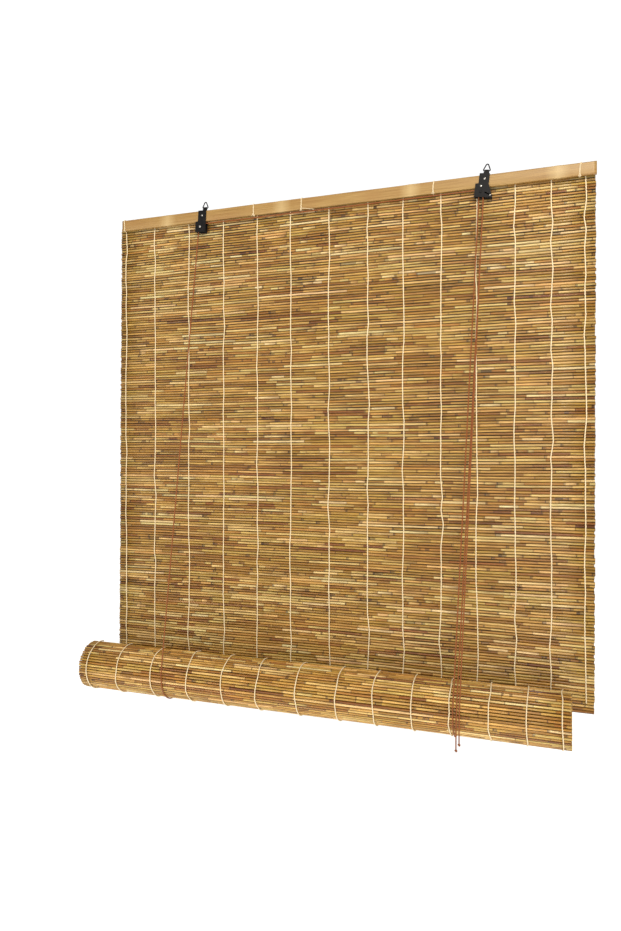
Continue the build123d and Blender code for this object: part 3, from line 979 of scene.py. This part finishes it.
@dataclass
class BattenTies:
    """Thread wound round the head batten to carry the mat, knotted in front with loose tails."""

    layout: Layout
    places: tuple[float, ...] = (-444 * MM, -157 * MM, -60 * MM, 185 * MM, 424 * MM)
    diameter: float = 0.9 * MM
    clear: float = 0.45 * MM  # from the batten to the middle of the thread
    long_tail: float = 24.0  # millimetres, on the middle tie

    def build(self) -> None:
        """Builds the loops, knots and tails."""
        low, high = self.layout.batten
        front, back = low.y - self.clear, high.y + self.clear
        bottom, top = low.z - self.clear, high.z + self.clear
        lines, tails = [], []
        for number, x in enumerate(self.places):
            for turn in (0, 1):
                start = x + turn * 1.1 * MM
                a, b = start - 0.6 * MM, start + (number - 2) * 0.8 * MM
                up = [(a, front, bottom + MM), (a, front, (bottom + top) / 2), (b, front, top - MM)]
                over = [(b, front + MM, top), (b, back - MM, top), (b, back, top - MM)]
                under = [(a, back, bottom + MM), (a, back - MM, bottom), (a, front + MM, bottom)]
                lines.append(up + over + under)
            knot = Vector((x, front - 0.2 * MM, bottom + 3 * MM))
            for side in (-1, 1):
                reach = self.long_tail if number == 2 and side > 0 else side * (number % 2) * 1.5
                tail = [(side * -1.0, 0.0, 0.8), (side * 0.5, -0.9, 0.9), (side * 0.9, -0.8, -0.4)]
                tail.append((side * 1.2 + reach * 0.3, -0.7, -1.2))
                tail.append((side * 1.6 + reach, -0.5, -3.0 - number % 3))
                tails.append([tuple(knot + Vector(place) * MM) for place in tail])
        loops = tube_of("batten_tie_loops", lines, self.diameter, TIE, closed=True, steps=3, roundness=1)
        ends = tube_of("batten_tie_tails", tails, self.diameter, TIE, steps=3, roundness=1)
        attach(loops, Body.ROOT, "string", "batten_ties")
        attach(ends, Body.ROOT, "string")


@dataclass
class LiftCords:
    """The lift cords: taut legs, slings under the roll, bends over the pulleys and the free pull cords."""

    layout: Layout
    diameter: float = 2.2 * MM
    wrap: float = 46.5 * MM  # from the roll's axis to the middle of a cord that lies on it
    sling_rise: float = 6.3  # degrees that a sling goes on past the roll's front
    sling_steps: int = 8
    pull_drop: float = 45.0 * MM  # straight length above each pull cord's knot
    pull_ease: float = 13.0 * MM  # from the lock to the pull cord's first bend

    def legs(self, side: Side) -> None:
        """Builds the taut back and front legs of one cord.

        Args:
            side: which lift cord.
        """
        half = self.diameter / 2
        for face in (Face.BACK, Face.FRONT):
            node = f"{side.value}_cord_{face.name.lower()}_leg"
            low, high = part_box(node)
            middle = (low.y + high.y) / 2
            # a front leg leans out to the roll's front, a back one hangs plumb
            near, far = (low.y + half, high.y - half) if face is Face.FRONT else (middle, middle)
            top, bottom = Vector((high.x - half, far, high.z)), Vector((low.x + half, near, low.z))
            points = [tuple(top.lerp(bottom, share)) for share in (0.0, 0.015, 0.5, 0.985, 1.0)]
            piece = tube_of(node + "_cord", [points], self.diameter, CORD, steps=8)
            attach(piece, Body.ROOT, "cord", node)
            self.layout.shorten(piece, high.z, high.z - low.z)

    def sling(self, side: Side) -> None:
        """Builds the bend of one cord under the roll.

        Args:
            side: which lift cord.
        """
        node = f"{side.value}_cord_sling"
        low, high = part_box(node)
        x = (low.x + high.x) / 2
        axis = self.layout.roll_axis
        spread = (math.pi + math.radians(self.sling_rise)) / self.sling_steps
        # control points of a smooth curve of this radius lie outside it by the half angle between them
        outside = self.wrap / math.cos(spread / 2) ** 2
        points = []
        for step in range(self.sling_steps + 1):
            angle = step * spread
            reach = self.wrap if step in (0, self.sling_steps) else (self.wrap + outside) / 2
            points.append((x, axis.y + reach * math.cos(angle), axis.z - reach * math.sin(angle)))
        piece = tube_of(node + "_cord", [points], self.diameter, CORD, steps=8)
        attach(piece, Body.SLINGS, "cord", node)

    def knot(self, name: str, at: Vector, tail: float, down: bool) -> bpy.types.Object:
        """Ties an overhand knot in the cord's end.

        Args:
            name: the piece's name.
            at: the knot's middle.
            tail: length of the cord's end beyond it.
            down: whether the end points down.

        Returns:
            The knot, with no body yet.
        """
        sign = -1 if down else 1
        turns = [(0.0, 0.0, -2.3), (0.1, -0.6, -1.0), (1.7, -0.9, 0.2), (1.2, 0.5, 1.5)]
        turns += [(-0.6, 1.2, 1.2), (-1.8, 0.2, 0.0), (-0.8, -1.3, -1.1), (0.9, -0.9, -1.2)]
        turns += [(1.6, 0.7, -0.1), (0.2, 1.0, 1.0), (0.1, 0.1, 1.9), (0.0, 0.0, 1.9 + tail / MM)]
        points = [tuple(at + Vector((x, y, z * sign)) * MM) for x, y, z in turns]
        return tube_of(name, [points], self.diameter * 0.86, CORD, steps=5)

    def pull_route(self, side: Side) -> list[Vector]:
        """Gives a pull cord's own points.

        Args:
            side: which lift cord it is the end of.

        Returns:
            The points, from the lock down to the knot.
        """
        half = self.diameter / 2
        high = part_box(f"{side.value}_pull_cord")[1]
        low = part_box(f"{side.value}_pull_cord_end")[0]
        top = Vector((high.x - half, high.y - half, high.z))
        corner = Vector((low.x + half, low.y + half, low.z + self.pull_drop))
        return [
            top,
            top + (corner - top).normalized() * self.pull_ease,
            corner + (top - corner).normalized() * self.pull_drop,
            corner,
            Vector((low.x + half, low.y + half, low.z)),
        ]

    def pull_cord(self, side: Side) -> None:
        """Builds one free pull cord with its end knot.

        Args:
            side: which lift cord it is the end of.
        """
        places = self.pull_route(side)
        route = [tuple(place) for place in places]
        name = f"{side.value}_pull_cord_line"
        guide = smooth_curve(name + "_route", [route], steps=12)
        line = centre_line(guide)
        bpy.data.objects.remove(guide)
        piece = tube_of(name, [route], self.diameter, CORD, steps=12)
        end = places[-1]
        knot = self.knot(f"{side.value}_pull_cord_knot", end + Vector((0, 0, -1.4 * MM)), 0.6 * MM, True)
        attach(knot, Body.PULL_ENDS, "cord", f"{side.value}_pull_knot")
        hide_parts(f"{side.value}_pull_cord", f"{side.value}_pull_cord_end")
        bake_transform(piece)

    def over_pulleys(self) -> None:
        """Builds the cord that crosses along the batten and the bend over the lock's pulley."""
        half = self.diameter / 2
        low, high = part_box("cross_cord")
        left, right = low.x + half, high.x - half
        back, front = high.y - half, low.y + half
        left_z, right_z = (sum(corner.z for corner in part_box(side.value + "_pulley")) / 2 for side in Side)
        left_top, right_top = left_z + 6.0 * MM, right_z + 3.8 * MM
        lock_low, lock_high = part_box("right_cord_over_pulley")
        points = [
            (left, back, low.z),
            (left, back, left_z - 2 * MM),
            (left, back, left_top),
            (left + 12 * MM, back, left_top),
            (left + 120 * MM, back - 0.2 * MM, left_top - 0.3 * MM),
            (right - 120 * MM, front + 0.4 * MM, right_top - 0.5 * MM),
            (right - 8 * MM, front, right_top),
            (right, front, right_top),
            (right, front, right_z - 1 * MM),
            (right, front, lock_low.z),
        ]
        cross = tube_of("cross_cord_over_pulleys", [points], self.diameter, CORD, steps=8)
        attach(cross, Body.ROOT, "cord", "cross_cord")
        a, b = lock_low.x + half, lock_high.x - half
        y = (lock_low.y + lock_high.y) / 2
        heights = (lock_low.z, right_z, lock_high.z - half)
        bend = [(a, y, z) for z in heights] + [(b, y, z) for z in reversed(heights)]
        over = tube_of("right_cord_over_lock_pulley", [bend], self.diameter, CORD, steps=8)
        attach(over, Body.ROOT, "cord", "right_cord_over_pulley")

    def back_knots(self) -> None:
        """Builds the knots that end the cords on their eyes."""
        for side in Side:
            low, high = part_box(f"{side.value}_cord_back_leg")
            at = Vector((high.x - self.diameter / 2, (low.y + high.y) / 2, high.z + 2.2 * MM))
            knot = self.knot(f"{side.value}_back_cord_knot", at, 0.2 * MM, False)
            attach(knot, Body.ROOT, "cord", *(["back_cord_knots"] if side is Side.LEFT else []))


@dataclass
class Hangers:
    """The two hangers' hardware, which keeps its CAD shape."""

    nodes: dict[str, bpy.types.Object]

    def dress(self) -> None:
        """Gives each metal or nylon node its finish."""
        finishes: dict[str, Finish] = {
            "plate": ENAMEL,
            "hanging_ring": ENAMEL,
            "rivets": NICKEL,
            "right_pulley_axle": ENAMEL,
            "axle": NICKEL,
            "roller": NICKEL,
            "eyes": NICKEL,
            "pulley": NYLON,
        }
        for name, node in self.nodes.items():
            for word, finish in finishes.items():
                if word in name and not node.hide_render:
                    node.data.materials.clear()
                    node.data.materials.append(finish.material())
                    LOG.info("%s: %s", name, finish.name)
                    break


@dataclass(frozen=True)
class Softbox:
    """A square soft light."""

    name: str
    place: Point
    aim: Point
    size: float
    power: float


@dataclass
class Studio:
    """A plain pale floor, soft lights and the camera."""

    camera_place: Point = (0.4058, -1.25135, -0.48669)
    camera_turn: float = 19.81  # degrees, towards the left end of the blind
    lens: float = 27.63
    shift: float = -0.0165
    floor_height: float = -1.35
    floor_glow: float = 0.7
    sky: float = 0.4
    sky_seen: float = 0.65  # added where the camera sees the sky itself
    softboxes: tuple[Softbox, ...] = (
        Softbox("key_softbox", (0.9, -2.2, 1.0), (0.1, 0.0, -0.6), 0.9, 66.0),
        Softbox("fill_softbox", (-1.7, -1.9, -0.2), (0.0, 0.0, -0.6), 1.4, 14.0),
    )

    def build(self) -> None:
        """Sets everything up."""
        self.floor()
        self.lights()
        self.film()
        self.camera()

    def floor(self) -> None:
        """Lays the floor."""
        bm = bmesh.new()
        bmesh.ops.create_grid(bm, x_segments=1, y_segments=1, size=12.0)
        bmesh.ops.translate(bm, verts=bm.verts, vec=(0, 0, self.floor_height))
        mesh = bpy.data.meshes.new("pale_floor")
        bm.to_mesh(mesh)
        bm.free()
        floor = bpy.data.objects.new("pale_floor", mesh)
        bpy.context.scene.collection.objects.link(floor)
        paint = bpy.data.materials.new("pale_studio_floor")
        paint.use_nodes = True
        paint.node_tree.nodes.clear()
        add = partial(add_node, paint.node_tree)
        glow = {"Emission Color": linear("FFFFFF"), "Emission Strength": self.floor_glow}
        shader = add("BsdfPrincipled", {"Base Color": linear("F7F7F5"), "Roughness": 0.9} | glow)
        add("OutputMaterial", {"Surface": shader[0]})
        mesh.materials.append(paint)

    def lights(self) -> None:
        """Sets a white surround and two soft lights."""
        world = bpy.data.worlds.new("white_studio")
        bpy.context.scene.world = world
        world.use_nodes = True
        world.node_tree.nodes.clear()
        add = partial(add_node, world.node_tree)
        seen = add("LightPath")["Is Camera Ray"]
        strength = add("Math:MULTIPLY_ADD", (seen, self.sky_seen, self.sky))[0]
        sky = add("Background", {"Color": linear("FFFFFF"), "Strength": strength})[0]
        add("OutputWorld", {"Surface": sky})
        for box in self.softboxes:
            lamp = bpy.data.lights.new(box.name, "AREA")
            lamp.size = box.size
            lamp.energy = box.power
            lamp.color = linear("FFF6EA")[:3]
            light = bpy.data.objects.new(box.name, lamp)
            bpy.context.scene.collection.objects.link(light)
            light.location = box.place
            way = Vector(box.aim) - Vector(box.place)
            light.rotation_euler = way.to_track_quat("-Z", "Y").to_euler()

    def film(self) -> None:
        """Shows colours as they are, on a plain white ground."""
        bpy.context.scene.view_settings.view_transform = "Standard"

    def camera(self) -> None:
        """Sets the camera."""
        data = bpy.data.cameras.new("camera")
        data.lens = self.lens
        data.sensor_width = 36.0
        data.shift_y = self.shift
        data.clip_start = 0.05
        camera = bpy.data.objects.new("camera", data)
        bpy.context.scene.collection.objects.link(camera)
        camera.location = self.camera_place
        camera.rotation_euler = (math.radians(90), 0.0, math.radians(self.camera_turn))
        bpy.context.scene.camera = camera


def main() -> None:
    """Builds the blind's pieces in order."""
    logging.basicConfig(level=logging.INFO, format="%(name)s: %(message)s")
    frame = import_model()
    layout = Layout()
    mat = ReedMat(layout)
    mat.hanging()
    mat.roll()
    strings = WarpStrings(layout)
    strings.hanging()
    strings.on_roll(mat.shift)
    Batten("head_batten_slat", "head_batten", Body.ROOT).build()
    Batten("bottom_batten_slat", "bottom_batten", Body.ROLL).build()
    BattenTies(layout).build()
    cords = LiftCords(layout)
    cords.over_pulleys()
    for side in Side:
        cords.sling(side)
        cords.legs(side)
    for side in Side:
        cords.pull_cord(side)
    cords.back_knots()
    Hangers(frame["nodes"]).dress()
    Studio().build()


if __name__ == "__main__":
    main()
